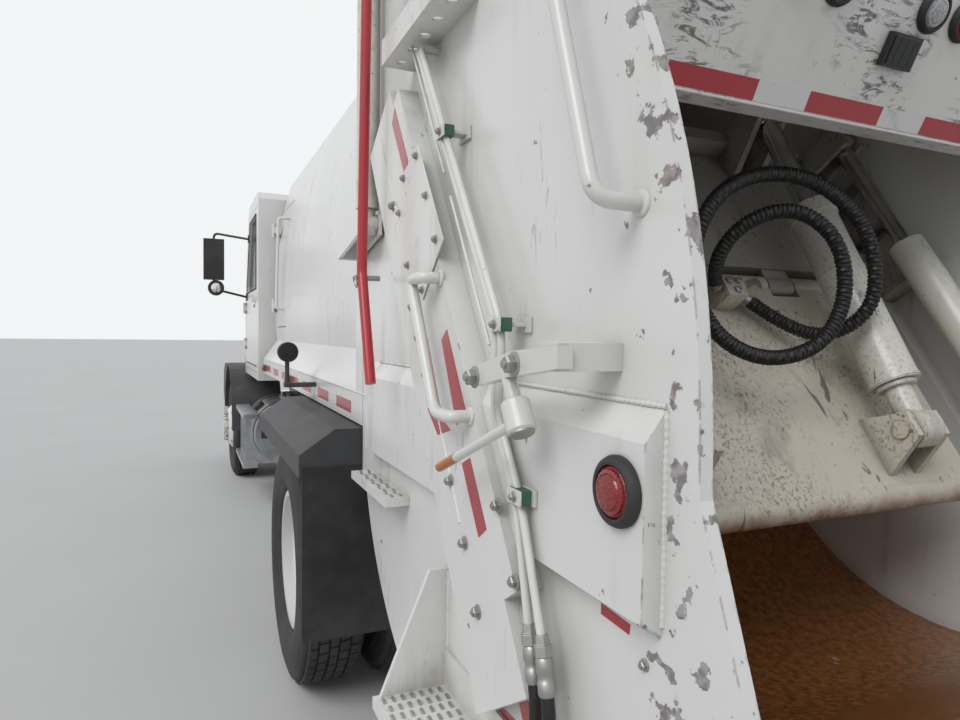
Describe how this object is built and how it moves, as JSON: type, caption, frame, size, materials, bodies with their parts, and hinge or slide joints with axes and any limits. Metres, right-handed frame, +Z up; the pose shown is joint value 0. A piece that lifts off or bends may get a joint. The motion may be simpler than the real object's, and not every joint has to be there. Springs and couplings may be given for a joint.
{
  "type": "rear-loading garbage truck",
  "caption": "Bonneted two-axle garbage truck with a rear loading hopper, packer blade and carriage, lifting tailgate and hollow refuse body.",
  "frame": {"origin": "on the road under the middle of the truck's length and width", "axes": "+X forward to the bumper, +Y to the truck's left, +Z up"},
  "size_m": [8.18, 2.91, 3.055],
  "materials": {
    "white_paint": "gloss paint, chipped and stained",
    "cylinder_paint": "worn paint",
    "worn_white_steel": "scuffed paint on steel",
    "ejector_paint": "scuffed paint on steel",
    "black_frame": "satin paint",
    "dark_plastic": "textured",
    "mirror_black": "gloss",
    "bright_aluminium": "brushed",
    "tyre_rubber": "dusty",
    "flap_rubber": "matte",
    "window_glass": "clear",
    "headlamp_glass": "clear",
    "amber_lens": "gloss",
    "red_lens": "gloss",
    "red_paint": "worn paint",
    "rail_paint": "worn paint",
    "step_steel": "worn",
    "rod_chrome": "polished",
    "engine_iron": "rough",
    "hose_rubber": "spiral guard",
    "seat_fabric": "woven"
  },
  "bodies": {
    "chassis": {"chassis_frame": "black_frame", "front_bumper": "black_frame", "engine_block": "engine_iron", "front_axle": "black_frame", "rear_axle": "black_frame", "side_tanks": "bright_aluminium", "cab_steps": "bright_aluminium", "wheel_arch_panels": "dark_plastic", "cab_shell": "white_paint", "cab_glass": "window_glass", "cab_seats": "seat_fabric", "dashboard": "dark_plastic", "rear_fenders": "dark_plastic", "mud_flaps": "flap_rubber", "refuse_body": "white_paint", "body_lamps": "amber_lens"},
    "hood": {"hood_panel": "white_paint", "front_fenders": "dark_plastic", "grille": "dark_plastic", "headlamps": "headlamp_glass"},
    "left_door": {"left_door": "white_paint", "left_door_glass": "window_glass", "left_mirror": "mirror_black"},
    "right_door": {"right_door": "white_paint", "right_door_glass": "window_glass", "right_mirror": "mirror_black"},
    "access_door": {"access_door": "white_paint"},
    "left_steer": {"left_knuckle": "black_frame"},
    "right_steer": {"right_knuckle": "black_frame"},
    "left_front_wheel": {"left_front_tyre": "tyre_rubber", "left_front_rim": "white_paint"},
    "right_front_wheel": {"right_front_tyre": "tyre_rubber", "right_front_rim": "white_paint"},
    "left_rear_wheels": {"left_rear_tyres": "tyre_rubber", "left_rear_rims": "white_paint"},
    "right_rear_wheels": {"right_rear_tyres": "tyre_rubber", "right_rear_rims": "white_paint"},
    "tailgate": {"tailgate_shell": "white_paint", "packer_guides": "white_paint", "slide_barrels": "cylinder_paint", "grab_rails": "rail_paint", "riding_steps": "step_steel", "hydraulic_lines": "step_steel", "tailgate_lamps": "red_lens"},
    "safety_prop": {"safety_prop": "red_paint"},
    "lift_barrels": {"lift_barrels": "cylinder_paint"},
    "lift_rods": {"lift_rods": "rod_chrome"},
    "carriage": {"packer_carriage": "worn_white_steel", "slide_rods": "rod_chrome"},
    "blade": {"packer_blade": "worn_white_steel", "hopper_hose": "hose_rubber"},
    "sweep_barrels": {"sweep_barrels": "cylinder_paint"},
    "sweep_rods": {"sweep_rods": "rod_chrome"},
    "ejector": {"ejector_panel": "ejector_paint"}
  },
  "joints": [
    {"name": "hood_tilt", "type": "hinge", "parent": "chassis", "child": "hood", "pos_m": [4, 0, 0.85], "axis": [0, 1, 0], "range_deg": [0, 70]},
    {"name": "left_door_swing", "type": "hinge", "parent": "chassis", "child": "left_door", "pos_m": [2.57, 1.063, 1.6], "axis": [0, 0, -1], "range_deg": [0, 70]},
    {"name": "right_door_swing", "type": "hinge", "parent": "chassis", "child": "right_door", "pos_m": [2.57, -1.063, 1.6], "axis": [0, 0, 1], "range_deg": [0, 70]},
    {"name": "access_door_swing", "type": "hinge", "parent": "chassis", "child": "access_door", "pos_m": [1.127, 0.945, 2.07], "axis": [0, 0, -1], "range_deg": [0, 110]},
    {"name": "left_steer_turn", "type": "hinge", "parent": "chassis", "child": "left_steer", "pos_m": [2.99, 0.87, 0.525], "axis": [0, 0, 1], "range_deg": [-35, 35]},
    {"name": "right_steer_turn", "type": "hinge", "parent": "chassis", "child": "right_steer", "pos_m": [2.99, -0.87, 0.525], "axis": [0, 0, 1], "range_deg": [-35, 35]},
    {"name": "left_front_roll", "type": "hinge", "parent": "left_steer", "child": "left_front_wheel", "pos_m": [2.99, 1.035, 0.525], "axis": [0, 1, 0], "continuous": true},
    {"name": "right_front_roll", "type": "hinge", "parent": "right_steer", "child": "right_front_wheel", "pos_m": [2.99, -1.035, 0.525], "axis": [0, 1, 0], "continuous": true},
    {"name": "left_rear_roll", "type": "hinge", "parent": "chassis", "child": "left_rear_wheels", "pos_m": [-1.61, 0.91, 0.525], "axis": [0, 1, 0], "continuous": true},
    {"name": "right_rear_roll", "type": "hinge", "parent": "chassis", "child": "right_rear_wheels", "pos_m": [-1.61, -0.91, 0.525], "axis": [0, 1, 0], "continuous": true},
    {"name": "tailgate_lift", "type": "hinge", "parent": "chassis", "child": "tailgate", "pos_m": [-2.25, 0, 3.01], "axis": [0, 1, 0], "range_deg": [0, 82]},
    {"name": "prop_swing", "type": "hinge", "parent": "tailgate", "child": "safety_prop", "pos_m": [-2.77, 1.14, 2.6], "axis": [0, -1, 0], "range_deg": [0, 82]},
    {"name": "lift_lean", "type": "hinge", "parent": "chassis", "child": "lift_barrels", "pos_m": [-2.475, 1.06, 1.9], "axis": [0, 1, 0], "range_deg": [0, 2]},
    {"name": "lift_extend", "type": "slide", "parent": "lift_barrels", "child": "lift_rods", "axis": [0, 0, 1], "range_m": [0, 0.36]},
    {"name": "pack_slide", "type": "slide", "parent": "tailgate", "child": "carriage", "axis": [-0.5561, 0, -0.8311], "range_m": [0, 0.455]},
    {"name": "blade_swing", "type": "hinge", "parent": "carriage", "child": "blade", "pos_m": [-2.853, 0, 1.718], "axis": [0, 1, 0], "range_deg": [-10, 55]},
    {"name": "sweep_lean", "type": "hinge", "parent": "blade", "child": "sweep_barrels", "pos_m": [-3.33358, 0.45, 1.26951], "axis": [0, 1, 0], "range_deg": [-30, 6]},
    {"name": "sweep_extend", "type": "slide", "parent": "sweep_barrels", "child": "sweep_rods", "axis": [0.4907, 0, 0.8713], "range_m": [-0.32, 0.06]},
    {"name": "ejector_push", "type": "slide", "parent": "chassis", "child": "ejector", "axis": [-1, 0, 0], "range_m": [0, 3]}
  ],
  "couplings": [
    {"joint": "right_steer_turn", "follows": "left_steer_turn", "ratio": 1},
    {"joint": "lift_lean", "follows": "tailgate_lift", "ratio": 0.012},
    {"joint": "lift_extend", "follows": "tailgate_lift", "m_per_rad": 0.2465},
    {"joint": "sweep_lean", "follows": "blade_swing", "ratio": -0.5245},
    {"joint": "sweep_extend", "follows": "blade_swing", "m_per_rad": -0.32}
  ]
}
